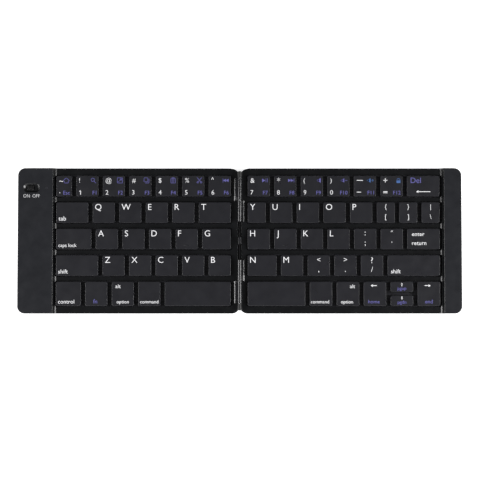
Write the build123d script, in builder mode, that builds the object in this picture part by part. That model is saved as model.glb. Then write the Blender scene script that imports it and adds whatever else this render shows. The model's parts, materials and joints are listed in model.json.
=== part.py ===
from build123d import *
import os
from collections import namedtuple
from math import asin, atan2, cos, degrees, hypot, sin, sqrt

# A pocket keyboard in two halves that fold face to face on a raised hinge, here open and flat.
# +X runs to the right, +Y to the back edge and +Z up. The origin lies midway along the hinge, on the
# surface that the feet stand on. Sizes are in millimetres and degrees.

LEFT, RIGHT = -1, 1

# --- plan of each half --------------------------------------------------------------------------------
half_length = 145.5           # hinge axis to the outer end
back_margin = 5.0             # back edge to the first row of keys
front_margin = 5.0            # last row of keys to the front edge
outer_corner_radius = 4.8
hinge_corner_radius = 5.0
case_edge = 1.3               # hinge axis to the edge of the top case
cover_edge = 0.15             # hinge axis to the edge of the bottom cover: open, the two stop each other
end_wall = 1.5                # walls at the outer end and beside the hinge
long_wall = 3.1               # walls along the front and back, which take the screws
left_strip_width = 23.0       # raised strip over the battery and the main board
right_strip_width = 11.5
left_hinge_frame = 3.8        # deck between the hinge edge and the key windows
right_hinge_frame = 3.2
ledge = 1.4                   # edge of the raised strip to the key windows
cove_run = 3.5                # width of the hollow curve that joins deck and strip

# --- heights and walls --------------------------------------------------------------------------------
foot_height = 0.6
floor_thickness = 1.0
plate_rise = 1.0              # floor of the bottom cover to the backplate
plate_thickness = 0.4
membrane_thickness = 0.3
deck_thickness = 2.45         # deck and the ribs between the key windows
strip_rise = 2.8              # deck to the top of the raised strips
strip_top = 1.2               # wall over the hollow strips
strip_wall = 1.5              # wall between a hollow strip and the keys
key_rise = 2.2                # deck to the tops of the keys
fold_gap = 0.3                # between the two strips when they lie face to face
edge_break = 0.3              # bevel along the upper edges of the case
base_bevel = 0.6              # bevel round the underside
seat_gap = 0.05               # between pieces that rest on each other
fit_gap = 0.1                 # round a piece that is let into another

# --- keys ---------------------------------------------------------------------------------------------
row_pitch = 17.37
rib_width = 2.45              # rib between two rows
bottom_row_depth = 16.0       # the last row's keys are longer front to back
key_gap = 2.6                 # between neighbours in a row
arrow_gap = 2.0               # between the two half keys for up and down
window_gap = 0.6              # round the keys in their window
right_end_gap = 1.3           # last key of a row to its window, beside the right strip
window_corner = 0.8
key_web = 1.2                 # top of a keycap
skirt_wall = 0.9
key_corner = 0.8
key_draft = 3.0               # lean of the skirt
travel = 1.5
landing_gap = 0.2             # under the skirt of a key held down
homing_length = 3.2           # raised bar on the two keys where the index fingers rest
homing_width = 0.5
homing_height = 0.2
homing_inset = 2.6            # its place from the front of the key

tilde_width = 10.5
tab_width = 21.3
t_width = 21.3
caps_width = 23.4
g_width = 19.0
left_shift_width = 27.9
control_width = 16.7
left_space_width = 43.5
delete_width = 21.6
y_width = 12.1
bracket_width = 12.1
enter_width = 21.6
n_width = 19.2
right_shift_width = 34.6
right_space_width = 38.0

# --- scissor frames and domes under the keys ----------------------------------------------------------
scissor_length = 10.4
scissor_depth = 10.2          # outer frame, front to back
scissor_bar = 0.9
scissor_thickness = 0.7
scissor_margin = 0.4          # outer frame to the inside of the skirt
two_scissor_width = 30.0      # a keycap wider than this stands on two pairs
dome_base = 5.4
dome_top = 3.0
dome_sides = 6

# --- hinge --------------------------------------------------------------------------------------------
barrel_radius = 1.55
pin_radius = 0.6
pin_fit = 0.02                # radial, where the pin is fixed
pin_clearance = 0.05          # radial, where a knuckle turns on it
hinge_inset = 2.1             # end of the barrel to the front or back edge
cap_length = 4.5
cap_bevel = 0.6
outer_knuckle = 14.4
inner_knuckle = 13.7
knuckle_gap = 0.2
left_neck = 1.8               # thickness of the necks that carry the knuckles
right_neck = 1.2
leaf_foot = 1.3               # foot of a neck, turned under the deck
foot_plate = 0.8
flare = 0.45                  # flared root of a neck on the deck
flare_share = 0.08            # how far up the neck the flare reaches
flex_width = 4.6
flex_thickness = 0.16
flex_tail = 4.0               # hinge axis to the end of the ribbon inside either half
flex_clearance = 0.2          # ribbon to the edge of the case
flex_bend = 0.4

# --- electronics in the left strip --------------------------------------------------------------------
board_thickness = 0.8
board_inset = 0.4             # board to the walls round it
board_rib = 1.2               # ribs that carry the board
battery_width = 17.0
battery_length = 48.0
battery_thickness = 4.0
battery_bevel = 0.6
bay_gap = 1.5                 # between battery, board and magnets
socket_width = 7.5
socket_depth = 5.6
socket_height = 2.5
socket_wall = 0.3
socket_corner = 0.7
socket_recess = 0.3           # mouth of the socket behind the end face
socket_from_switch = 14.0     # towards the front
tongue_width = 3.6
tongue_thickness = 0.6
tongue_length = 3.4
switch_from_end = 9.0         # centre of the power switch
switch_from_back = 13.1
recess_length = 10.5
recess_width = 6.1
recess_corner = 1.7
recess_depth = 1.0
recess_slope = 48.0           # lean of its walls from upright
recess_floor = 0.8
recess_border = 1.0           # thickened wall round the recess, inside the strip
switch_length = 8.0
switch_width = 3.6
knob_length = 4.0
knob_width = 2.8
knob_height = 0.75
knob_lift = 0.1               # knob over the floor of its recess
knob_rest = 0.6               # the knob stands this far to the left of the middle
knob_travel = 1.6
knob_groove = 0.35
knob_grooves = 3
stem_length = 1.4
stem_width = 1.2
lens_length = 2.2
lens_width = 1.2
lens_from_edge = 4.2          # from the inner edge of the strip

# --- magnets, screws and feet -------------------------------------------------------------------------
magnet_length = 6.0
magnet_width = 4.0
magnet_thickness = 1.5
magnet_inset = 1.0            # magnet to the walls round it
screw_sides = 8               # screws and their holes are drawn with flat sides
screw_radius = 0.7
screw_head_radius = 1.3
screw_head_height = 0.7
screw_bite = 1.9              # how far a screw reaches into the top case
screw_far = 16.0              # outer end to the screws beside it
screw_near = 14.0             # hinge axis to the screws beside it
pad_radius = 4.0              # rubber feet
pad_sides = 12                # drawn with flat sides
pad_inset = 9.0               # centre of a foot to the edges round it

# --- places worked out from the sizes above -----------------------------------------------------------
row_count = 5
key_depth = row_pitch - rib_width - 2 * window_gap
depth = back_margin + (row_count - 1) * row_pitch + bottom_row_depth + front_margin
half_depth = depth / 2
first_row_back = half_depth - back_margin
inside_depth = half_depth - long_wall

z_base = foot_height
z_floor = z_base + floor_thickness
z_plate = z_floor + plate_rise
z_parting = z_plate + plate_thickness
z_membrane_top = z_parting + membrane_thickness
z_rib = z_membrane_top + seat_gap
z_deck = z_rib + deck_thickness
z_strip = z_deck + strip_rise
z_ceiling = z_strip - strip_top
z_key_top = z_deck + key_rise
z_key_web = z_key_top - key_web
z_skirt = z_membrane_top + travel + landing_gap
z_axis = z_strip + fold_gap / 2
z_board_top = z_ceiling - seat_gap - socket_height
z_board = z_board_top - board_thickness
z_recess = z_strip - recess_depth

strip_edge = {LEFT: half_length - left_strip_width, RIGHT: half_length - right_strip_width}
window_near = {LEFT: case_edge + left_hinge_frame, RIGHT: case_edge + right_hinge_frame}
neck_reach = {LEFT: case_edge + fit_gap + left_neck, RIGHT: case_edge + fit_gap + right_neck}
half_name = {LEFT: "left", RIGHT: "right"}

cap_end = half_depth - hinge_inset
knuckle_far = {LEFT: cap_end - cap_length - knuckle_gap}
knuckle_near = {LEFT: knuckle_far[LEFT] - outer_knuckle}
knuckle_far[RIGHT] = knuckle_near[LEFT] - knuckle_gap
knuckle_near[RIGHT] = knuckle_far[RIGHT] - inner_knuckle

switch_x = -(half_length - switch_from_end)
switch_y = half_depth - switch_from_back
socket_y = switch_y - socket_from_switch
lens_x = -(strip_edge[LEFT] + lens_from_edge)
magnet_x = half_length - end_wall - magnet_inset - magnet_length / 2
magnet_y = inside_depth - magnet_inset - magnet_width / 2
battery_front = -magnet_y + magnet_width / 2 + bay_gap
board_front = battery_front + battery_length + bay_gap
board_back = magnet_y - magnet_width / 2 - board_inset
board_outer = -(half_length - end_wall - board_inset)
board_inner = -(strip_edge[LEFT] + strip_wall + board_inset)
screw_y = half_depth - long_wall / 2
pad_y = half_depth - pad_inset

Key = namedtuple("Key", "node x y width depth")
BOTTOM = (Align.CENTER, Align.CENTER, Align.MIN)


def block(x, y, z, mode=Mode.ADD):
    """A block between two values on each axis, added to the part in hand or cut from it."""
    corner = (min(x), min(y), min(z))
    with Locations(corner):
        Box(max(x) - min(x), max(y) - min(y), max(z) - min(z), align=(Align.MIN,) * 3, mode=mode)


def stud(side, radius, low, high, mode=Mode.ADD):
    """A prism at each of the four screws of one half, added to the part in hand or cut from it."""
    with BuildSketch(Plane.XY.offset(low)) as section:
        for x in (side * screw_near, side * (half_length - screw_far)):
            with Locations((x, -screw_y), (x, screw_y)):
                RegularPolygon(radius, screw_sides)
    extrude(section.sketch, amount=high - low, mode=mode)


def plan(side, near, low):
    """The rounded outline of one half, from near the hinge axis to the outer end."""
    with BuildSketch(Plane.XY.offset(low)) as outline:
        with Locations((side * (near + half_length) / 2, 0)):
            Rectangle(half_length - near, depth)
        fillet(outline.vertices().sort_by(Axis.X)[::side][-2:], outer_corner_radius)
        fillet(outline.vertices().sort_by(Axis.X)[::side][:2], hinge_corner_radius)
    return outline.sketch


def write(piece, name):
    """Names a finished piece and keeps it."""
    piece.part.label = name
    export_step(piece.part, f"parts/{name}.step")


def lay_out(side, rows):
    """Every key of one half. A width of None is an equal share of what its row has left."""
    near = window_near[side] + window_gap
    far = strip_edge[side] - ledge - (window_gap if side == LEFT else right_end_gap)
    start, end = sorted((side * near, side * far))
    keys = []
    for index, row in enumerate(rows):
        back = first_row_back - index * row_pitch
        row_depth = bottom_row_depth if index == row_count - 1 else key_depth
        half_key = (row_depth - arrow_gap) / 2
        left_over = end - start - key_gap * (len(row) - 1) - sum(width for _, width in row if width)
        share = left_over / sum(1 for _, width in row if not width)
        x = start
        for node, width in row:
            width = width or share
            middle = x + width / 2
            if node == "up_and_down":
                keys.append(Key("key_up_arrow", middle, back - half_key / 2, width, half_key))
                keys.append(Key("key_down_arrow", middle, back - row_depth + half_key / 2, width, half_key))
            else:
                keys.append(Key(node, middle, back - row_depth / 2, width, row_depth))
            x += width + key_gap
    return keys


def keycaps(keys):
    """Keycaps that travel together: tapered shells, open below."""
    with BuildPart() as caps:
        with BuildSketch(Plane.XY.offset(z_skirt)) as outside:
            for key in keys:
                with Locations((key.x, key.y)):
                    Rectangle(key.width, key.depth)
            chamfer(outside.vertices(), key_corner)
        extrude(amount=z_key_top - z_skirt, taper=key_draft)
        with BuildSketch(Plane.XY.offset(z_skirt)):
            for key in keys:
                with Locations((key.x, key.y)):
                    Rectangle(key.width - 2 * skirt_wall, key.depth - 2 * skirt_wall)
        extrude(amount=z_key_web - z_skirt, mode=Mode.SUBTRACT)
        for key in keys:
            if key in homing_keys:
                bar_y = key.y - key.depth / 2 + homing_inset
                with Locations((key.x, bar_y, z_key_top)):
                    Box(homing_length, homing_width, homing_height, align=BOTTOM)
    return caps


def supports(key):
    """Centres along X of the scissor pairs and domes under one key."""
    if key.width > two_scissor_width:
        return [key.x - key.width / 4, key.x + key.width / 4]
    return [key.x]


def scissor_sizes(key):
    """Length, outer depth and bar of the scissor frames that fit inside one keycap."""
    room_x = key.width - 2 * skirt_wall - 2 * scissor_margin
    room_y = key.depth - 2 * skirt_wall - 2 * scissor_margin
    frame_depth = min(scissor_depth, room_y)
    return min(scissor_length, room_x), frame_depth, min(scissor_bar, frame_depth / 8)


def scissor_frame(centre, length, frame_depth, bar, lean):
    """One scissor frame: a fork with a bar across one end, leaning about its middle."""
    plane = Plane(origin=centre, x_dir=(cos(lean), 0, sin(lean)), z_dir=(-sin(lean), 0, cos(lean)))
    with BuildSketch(plane) as fork:
        Rectangle(length, frame_depth)
        with Locations((bar / 2, 0)):
            Rectangle(length - bar, frame_depth - 2 * bar, mode=Mode.SUBTRACT)
    return extrude(fork.sketch, amount=scissor_thickness / 2, both=True, mode=Mode.PRIVATE)


def scissors(keys):
    """Under each key two frames cross like scissors, one inside the other, and keep the key level."""
    middle = (z_membrane_top + z_key_web) / 2
    room = middle - z_membrane_top - seat_gap - scissor_thickness / 2
    frames = []
    for key in keys:
        length, outer, bar = scissor_sizes(key)
        lean = asin(room / (length / 2))
        inner = outer - 2 * bar - 2 * fit_gap
        for x in supports(key):
            frames.append(scissor_frame((x, key.y, middle), length, outer, bar, lean))
            frames.append(scissor_frame((x, key.y, middle), length, inner, bar, -lean))
    with BuildPart() as pairs:
        add(frames)
    return pairs


def domes(keys):
    """A silicone dome under each key, between the membrane and the keycap."""
    height = z_key_web - seat_gap - z_membrane_top
    shapes = []
    for key in keys:
        _, outer, bar = scissor_sizes(key)
        base = min(dome_base, outer - 4 * bar - 4 * fit_gap)
        lean = degrees(atan2(base * (1 - dome_top / dome_base) / 2, height))
        for x in supports(key):
            with BuildSketch(Plane((x, key.y, z_membrane_top))) as foot:
                RegularPolygon(base / 2, dome_sides)
            shapes.append(extrude(foot.sketch, amount=height, taper=lean, mode=Mode.PRIVATE))
    with BuildPart() as group:
        add(shapes)
    return group


def row_windows(side):
    """Front and back of each row's window, and its ends along X."""
    ends = (side * window_near[side], side * (strip_edge[side] - ledge))
    windows = []
    for index in range(row_count):
        back = first_row_back - index * row_pitch
        row_depth = bottom_row_depth if index == row_count - 1 else key_depth
        windows.append((ends, (back - row_depth - window_gap, back + window_gap)))
    return windows


def top_case(side):
    """Deck with a window for each row of keys, raised end strip, and the cove between the two."""
    edge = strip_edge[side]
    with BuildPart() as case:
        with BuildSketch(Plane.XZ):
            with BuildLine():
                Polyline(
                    (side * (edge - cove_run), z_deck), (side * case_edge, z_deck),
                    (side * case_edge, z_parting), (side * half_length, z_parting),
                    (side * half_length, z_strip), (side * edge, z_strip),
                )
                TangentArc((side * (edge - cove_run), z_deck), (side * edge, z_strip), tangent=(side, 0))
            make_face()
        extrude(amount=half_depth, both=True)
        extrude(plan(side, case_edge, z_parting), amount=z_strip - z_parting, mode=Mode.INTERSECT)
        chamfer(case.faces().filter_by(Axis.Z).sort_by(Axis.Z)[-1].edges(), edge_break)

        with BuildSketch(Plane.XY.offset(z_parting)) as windows:
            for (x0, x1), (y0, y1) in row_windows(side):
                with Locations(((x0 + x1) / 2, (y0 + y1) / 2)):
                    Rectangle(abs(x1 - x0), y1 - y0)
            chamfer(windows.vertices(), window_corner)
        extrude(amount=z_strip - z_parting, mode=Mode.SUBTRACT)

        inside = (-inside_depth, inside_depth)
        outer_end = side * (half_length - end_wall)
        block((side * (cover_edge + end_wall), outer_end), inside, (z_parting, z_rib), Mode.SUBTRACT)
        block((side * (edge + strip_wall), outer_end), inside, (z_parting, z_ceiling), Mode.SUBTRACT)

        neck = (0, side * (neck_reach[side] + fit_gap))
        foot = (0, side * (neck_reach[side] + leaf_foot + fit_gap))
        for end in (-1, 1):
            span = (end * (knuckle_near[side] - fit_gap), end * (knuckle_far[side] + fit_gap))
            block(neck, span, (z_parting, z_deck), Mode.SUBTRACT)
            block(foot, span, (z_parting, z_rib + foot_plate + fit_gap), Mode.SUBTRACT)
        ribbon_slot = flex_width / 2 + fit_gap
        ribbon_end = (0, side * (flex_tail + fit_gap))
        ribbon_roof = z_rib + flex_thickness + flex_bend
        block(ribbon_end, (-ribbon_slot, ribbon_slot), (z_parting, ribbon_roof), Mode.SUBTRACT)

        stud(side, screw_radius + seat_gap, z_parting, z_parting + screw_bite + fit_gap, Mode.SUBTRACT)
    return case


def bottom_cover(side):
    """Shallow tray under one half, with counterbored screw holes and ribs for the backplate and board."""
    edge = strip_edge[side]
    inside = (-inside_depth, inside_depth)
    with BuildPart() as cover:
        extrude(plan(side, cover_edge, z_base), amount=z_parting - seat_gap - z_base)
        chamfer(cover.faces().sort_by(Axis.Z)[0].edges(), base_bevel)
        ends = (side * (cover_edge + end_wall), side * (half_length - end_wall))
        block(ends, inside, (z_floor, z_parting), Mode.SUBTRACT)
        for index in range(row_count - 1):
            rib_y = first_row_back - index * row_pitch - key_depth - window_gap - rib_width / 2
            rib_span = (rib_y - rib_width / 2, rib_y + rib_width / 2)
            block((ends[0], side * edge), rib_span, (z_floor, z_plate - seat_gap))
        if side == LEFT:
            for rib_y in (board_front, board_back - board_rib):
                rib_span = (rib_y, rib_y + board_rib)
                block((board_outer, board_inner), rib_span, (z_floor, z_board - seat_gap))
        head_top = z_base + fit_gap + screw_head_height
        stud(side, screw_radius + fit_gap, z_base, z_parting, Mode.SUBTRACT)
        stud(side, screw_head_radius + fit_gap, z_base, head_top, Mode.SUBTRACT)
    return cover


def plate_outline(side, low, thickness, margin):
    """A sheet that fills the tray of one half, under the keys, less a margin."""
    near = cover_edge + end_wall + margin
    with BuildPart() as sheet:
        block(
            (side * near, side * (strip_edge[side] - margin)),
            (-inside_depth + margin, inside_depth - margin),
            (low, low + thickness),
        )
    return sheet


def along_y(radius, far, near, centre_z):
    """A bar along Y between two places."""
    with BuildSketch(Plane.XZ.offset(-far)) as section:
        with Locations((0, centre_z)):
            Circle(radius)
    return extrude(section.sketch, amount=far - near, mode=Mode.PRIVATE)


def hinge_leaf(side, bore):
    """Two knuckles of one half, each on a neck let into the case and turned under the deck as a foot."""
    near = case_edge + fit_gap
    reach = neck_reach[side]
    span = hypot(reach, z_axis - z_deck)
    heading = atan2(z_axis - z_deck, -reach) - asin(barrel_radius / span)
    run = sqrt(span**2 - barrel_radius**2)
    touch = (reach + run * cos(heading), z_deck + run * sin(heading))
    root = (reach + (touch[0] - reach) * flare_share, z_deck + (touch[1] - z_deck) * flare_share)
    points = [
        (near, z_rib), (reach + leaf_foot, z_rib), (reach + leaf_foot, z_rib + foot_plate),
        (reach, z_rib + foot_plate), (reach, z_deck), (reach + flare, z_deck), root, touch,
        (0, z_axis), (near, z_deck),
    ]
    with BuildPart() as leaf:
        with BuildSketch(Plane.XZ.offset(-knuckle_far[side])):
            with BuildLine():
                Polyline(*[(side * x, z) for x, z in points], close=True)
            make_face()
            with Locations((0, z_axis)):
                Circle(barrel_radius)
                Circle(bore, mode=Mode.SUBTRACT)
        extrude(amount=knuckle_far[side] - knuckle_near[side])
        mirror(about=Plane.XZ)
    return leaf


def magnets(side):
    """Two bar magnets under the top of a raised strip, which hold the halves together when folded."""
    top = z_ceiling - seat_gap
    with BuildPart() as pair:
        with Locations((side * magnet_x, -magnet_y, top), (side * magnet_x, magnet_y, top)):
            Box(magnet_length, magnet_width, magnet_thickness, align=(Align.CENTER, Align.CENTER, Align.MAX))
    return pair


def screws(side):
    """Four screws of one half, put in from below."""
    head = z_base + fit_gap
    with BuildPart() as group:
        stud(side, screw_head_radius, head, head + screw_head_height)
        stud(side, screw_radius, head, z_parting + screw_bite)
    return group


def feet(side):
    """Four rubber feet of one half."""
    with BuildPart() as group:
        with BuildSketch():
            for x in (side * pad_inset, side * (half_length - pad_inset)):
                with Locations((x, -pad_y), (x, pad_y)):
                    RegularPolygon(pad_radius, pad_sides)
        extrude(amount=foot_height)
    return group


left_rows = [
    [("keys_tilde_to_3", tilde_width)] + [("keys_tilde_to_3", None)] * 3 + [("keys_4_to_6", None)] * 3,
    [("key_tab", tab_width)] + [("keys_q_to_t", None)] * 4 + [("keys_q_to_t", t_width)],
    [("key_caps_lock", caps_width)] + [("keys_a_to_g", None)] * 4 + [("keys_a_to_g", g_width)],
    [("key_left_shift", left_shift_width)] + [("keys_z_to_b", None)] * 5,
    [
        ("key_control", control_width), ("key_fn", None), ("key_left_option", None),
        ("key_left_command", None), ("key_left_space", left_space_width),
    ],
]
right_rows = [
    [("keys_7_to_0", None)] * 4 + [("keys_minus_equals", None)] * 2 + [("key_delete", delete_width)],
    [("keys_y_to_p", y_width)] + [("keys_y_to_p", None)] * 4 + [("keys_brackets", bracket_width)] * 3,
    [("keys_h_to_l", None)] * 4 + [("keys_semicolon_quote", None)] * 2 + [("key_enter", enter_width)],
    [("keys_n_m", n_width), ("keys_n_m", None)] + [("keys_comma_to_slash", None)] * 3
    + [("key_right_shift", right_shift_width)],
    [
        ("key_right_space", right_space_width), ("key_right_command", None), ("key_right_option", None),
        ("key_left_arrow", None), ("up_and_down", None), ("key_right_arrow", None),
    ],
]
layout = {LEFT: lay_out(LEFT, left_rows), RIGHT: lay_out(RIGHT, right_rows)}

left_home_row = [key for key in layout[LEFT] if key.node == "keys_a_to_g"]
right_home_row = [key for key in layout[RIGHT] if key.node == "keys_h_to_l"]
homing_keys = [left_home_row[3], right_home_row[1]]   # F and J

os.makedirs("parts", exist_ok=True)

for side, name in half_name.items():
    write(bottom_cover(side), f"{name}_bottom_cover")
    write(plate_outline(side, z_plate, plate_thickness - seat_gap, fit_gap), f"{name}_backplate")
    write(scissors(layout[side]), f"{name}_scissors")
    write(domes(layout[side]), f"{name}_domes")
    write(magnets(side), f"{name}_magnets")
    write(screws(side), f"{name}_screws")
    write(feet(side), f"{name}_feet")
    for node in dict.fromkeys(key.node for key in layout[side]):
        write(keycaps([key for key in layout[side] if key.node == node]), node)

write(top_case(RIGHT), "right_top_case")
write(plate_outline(RIGHT, z_parting, membrane_thickness, fit_gap), "right_membrane")
write(hinge_leaf(LEFT, pin_radius + pin_fit), "left_hinge_leaf")
write(hinge_leaf(RIGHT, pin_radius + pin_clearance), "right_hinge_leaf")

# --- left top case: the switch recess, the window of the status light and the mouth of the socket ------
with BuildPart() as left_top_case:
    add(top_case(LEFT).part)
    border = recess_border
    block(
        (switch_x - recess_length / 2 - border, switch_x + recess_length / 2 + border),
        (switch_y - recess_width / 2 - border, switch_y + recess_width / 2 + border),
        (z_recess - recess_floor, z_strip - edge_break),
    )
    with BuildSketch(Plane.XY.offset(z_strip)):
        with Locations((switch_x, switch_y)):
            mouth = Rectangle(recess_length, recess_width)
        chamfer(mouth.vertices(), recess_corner)
    extrude(amount=-recess_depth, taper=recess_slope, mode=Mode.SUBTRACT)
    slot_x = switch_x - knob_rest + knob_travel / 2
    slot_reach = stem_length / 2 + knob_travel / 2 + fit_gap
    slot_width = stem_width / 2 + fit_gap
    block(
        (slot_x - slot_reach, slot_x + slot_reach),
        (switch_y - slot_width, switch_y + slot_width),
        (z_recess - recess_floor, z_strip),
        Mode.SUBTRACT,
    )
    with BuildSketch(Plane.XY.offset(z_ceiling)):
        with Locations((lens_x, switch_y)):
            SlotOverall(lens_length + 2 * seat_gap, lens_width + 2 * seat_gap)
    extrude(amount=strip_top, mode=Mode.SUBTRACT)
    block(
        (-half_length, -(half_length - end_wall)),
        (socket_y - socket_width / 2 - fit_gap, socket_y + socket_width / 2 + fit_gap),
        (z_board_top - fit_gap, z_board_top + socket_height + fit_gap),
        Mode.SUBTRACT,
    )
write(left_top_case, "left_top_case")

with BuildPart() as left_membrane:
    add(plate_outline(LEFT, z_parting, membrane_thickness, fit_gap).part)
    tail_x = (-(strip_edge[LEFT] - 2 * fit_gap), -(strip_edge[LEFT] + bay_gap + board_inset))
    block(tail_x, (board_front + bay_gap, board_front + 3 * bay_gap), (z_parting, z_membrane_top))
write(left_membrane, "left_membrane")

with BuildPart() as hinge_pins:
    add(along_y(pin_radius, cap_end - cap_bevel, knuckle_near[RIGHT], z_axis))
    mirror(about=Plane.XZ)
write(hinge_pins, "hinge_pins")

with BuildPart() as hinge_end_caps:
    add(along_y(barrel_radius, cap_end, cap_end - cap_length, z_axis))
    chamfer(hinge_end_caps.faces().sort_by(Axis.Y)[-1].edges(), cap_bevel)
    bore_end = cap_end - cap_bevel + seat_gap
    add(along_y(pin_radius + pin_fit, bore_end, cap_end - cap_length, z_axis), mode=Mode.SUBTRACT)
    mirror(about=Plane.XZ)
write(hinge_end_caps, "hinge_end_caps")

# --- the ribbon that joins the two membranes: it loops through the hinge axis, so folding never pulls it --
with BuildPart() as hinge_ribbon:
    ribbon_z = z_rib + flex_thickness / 2
    leg_x = case_edge - flex_clearance - flex_thickness / 2
    with BuildSketch(Plane.XZ) as loop:
        with BuildLine() as route:
            FilletPolyline(
                (-flex_tail, ribbon_z), (-leg_x, ribbon_z), (-leg_x, z_axis), (leg_x, z_axis),
                (leg_x, ribbon_z), (flex_tail, ribbon_z),
                radius=flex_bend,
            )
        trace(line_width=flex_thickness)
    extrude(amount=flex_width / 2, both=True)
write(hinge_ribbon, "hinge_ribbon")

# --- electronics ---------------------------------------------------------------------------------------
with BuildPart() as main_board:
    block((board_outer, board_inner), (board_front, board_back), (z_board, z_board_top))
write(main_board, "main_board")

with BuildPart() as battery:
    battery_x = (board_outer + board_inner) / 2
    with Locations((battery_x, battery_front + battery_length / 2, z_floor + seat_gap)):
        Box(battery_width, battery_length, battery_thickness, align=BOTTOM)
    chamfer(battery.edges().filter_by(Axis.Y), battery_bevel)
write(battery, "battery")

with BuildPart() as charging_socket:
    mouth_x = -(half_length - socket_recess)
    socket_z = z_board_top + socket_height / 2
    with BuildSketch(Plane.YZ.offset(mouth_x)) as shell:
        with Locations((socket_y, socket_z)):
            Rectangle(socket_width, socket_height)
        chamfer(shell.vertices().group_by(Axis.Y)[0], socket_corner)
    extrude(amount=socket_depth)
    with BuildSketch(Plane.YZ.offset(mouth_x)):
        offset(shell.sketch, amount=-socket_wall)
        with Locations((socket_y, socket_z)):
            Rectangle(tongue_width, tongue_thickness, mode=Mode.SUBTRACT)
    extrude(amount=tongue_length, mode=Mode.SUBTRACT)
write(charging_socket, "charging_socket")

with BuildPart() as power_switch_body:
    body_top = z_recess - recess_floor - seat_gap
    with Locations((switch_x, switch_y, z_board_top)):
        Box(switch_length, switch_width, body_top - z_board_top, align=BOTTOM)
write(power_switch_body, "power_switch_body")

with BuildPart() as power_switch_knob:
    knob_x = switch_x - knob_rest
    knob_bottom = z_recess + knob_lift
    with Locations((knob_x, switch_y, knob_bottom)):
        Box(knob_length, knob_width, knob_height, align=BOTTOM)
    with Locations((knob_x, switch_y, body_top + seat_gap)):
        Box(stem_length, stem_width, knob_bottom - body_top - seat_gap, align=BOTTOM)
    groove_step = knob_length / (knob_grooves + 1)
    with Locations((knob_x, switch_y, knob_bottom + knob_height)):
        with GridLocations(groove_step, 1, knob_grooves, 1):
            Box(knob_groove, knob_width, 2 * knob_groove, mode=Mode.SUBTRACT)
write(power_switch_knob, "power_switch_knob")

with BuildPart() as status_lens:
    with BuildSketch(Plane.XY.offset(z_board_top)):
        with Locations((lens_x, switch_y)):
            SlotOverall(lens_length, lens_width)
    extrude(amount=z_strip - z_board_top)
write(status_lens, "status_lens")
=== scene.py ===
import json
import math
from collections import namedtuple

import bmesh
import bpy
from bpy.props import FloatProperty, FloatVectorProperty, IntProperty, PointerProperty
from bpy.types import Operator, Panel, PropertyGroup
from mathutils import Matrix, Vector

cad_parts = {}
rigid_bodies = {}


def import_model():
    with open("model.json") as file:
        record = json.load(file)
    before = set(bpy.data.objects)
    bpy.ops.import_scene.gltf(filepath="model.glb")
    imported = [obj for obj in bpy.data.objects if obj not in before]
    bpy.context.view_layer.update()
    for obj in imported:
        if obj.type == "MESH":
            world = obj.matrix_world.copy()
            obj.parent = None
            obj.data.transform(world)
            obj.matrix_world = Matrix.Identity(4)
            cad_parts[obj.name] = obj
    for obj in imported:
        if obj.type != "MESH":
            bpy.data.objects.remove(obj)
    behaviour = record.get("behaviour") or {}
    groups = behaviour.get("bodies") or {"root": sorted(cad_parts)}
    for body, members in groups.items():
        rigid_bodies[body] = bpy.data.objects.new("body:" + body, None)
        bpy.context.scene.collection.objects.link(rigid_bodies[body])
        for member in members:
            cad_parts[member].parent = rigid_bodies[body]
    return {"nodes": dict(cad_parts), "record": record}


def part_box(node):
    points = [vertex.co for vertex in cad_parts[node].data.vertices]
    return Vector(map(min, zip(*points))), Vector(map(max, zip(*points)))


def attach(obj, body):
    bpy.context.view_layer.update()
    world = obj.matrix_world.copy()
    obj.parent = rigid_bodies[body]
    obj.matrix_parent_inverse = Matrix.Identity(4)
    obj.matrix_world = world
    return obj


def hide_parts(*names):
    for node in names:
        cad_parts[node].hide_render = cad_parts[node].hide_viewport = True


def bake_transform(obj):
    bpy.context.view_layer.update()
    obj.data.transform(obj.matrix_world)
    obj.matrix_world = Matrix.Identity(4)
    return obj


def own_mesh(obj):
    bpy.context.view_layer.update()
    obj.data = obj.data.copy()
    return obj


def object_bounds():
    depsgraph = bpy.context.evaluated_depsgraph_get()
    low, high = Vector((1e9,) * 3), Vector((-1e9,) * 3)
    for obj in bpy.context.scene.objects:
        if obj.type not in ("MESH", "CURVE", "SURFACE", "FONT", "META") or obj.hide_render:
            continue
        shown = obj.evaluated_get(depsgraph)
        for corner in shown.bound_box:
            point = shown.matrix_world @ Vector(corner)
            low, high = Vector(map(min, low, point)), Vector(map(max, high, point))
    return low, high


bl_info = {
    "name": "Folding Keyboard",
    "version": (1, 0, 0),
    "blender": (4, 5, 0),
    "location": "View3D > Sidebar > Keyboard",
    "description": "Dresses a pocket keyboard in two halves that fold on a raised hinge",
    "category": "Object",
}

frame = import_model()
cad_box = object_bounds()

MM = 0.001
SIDES = ("left", "right")
WELD = 0.001 * MM              # points closer than this are one
LEVEL = 0.01 * MM              # points closer than this to a height lie at that height
LETTER_HEIGHT = 0.682          # height of a capital in the built-in font, at size 1
BAND = math.pi / 10            # length of one band of a wave texture at scale 1
MIX_A, MIX_B, MIX_RESULT = 6, 7, 2      # sockets of a mix node that mixes colours
DECK_OVER_FOOT = 2.45 * MM     # top of the deck above the underside of a hinge leaf's foot

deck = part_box("right_hinge_leaf")[0].z + DECK_OVER_FOOT
key_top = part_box("key_tab")[1].z
strip_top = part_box("left_top_case")[1].z
cover_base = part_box("left_bottom_cover")[0].z


# --- legends ---
WHITE, VIOLET, BLUE = 1, 2, 3

# A mark is a word or a drawn sign, its place on the key, its height in millimetres and its ink.
Mark = namedtuple("Mark", "sign place height ink", defaults=[WHITE])

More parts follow.
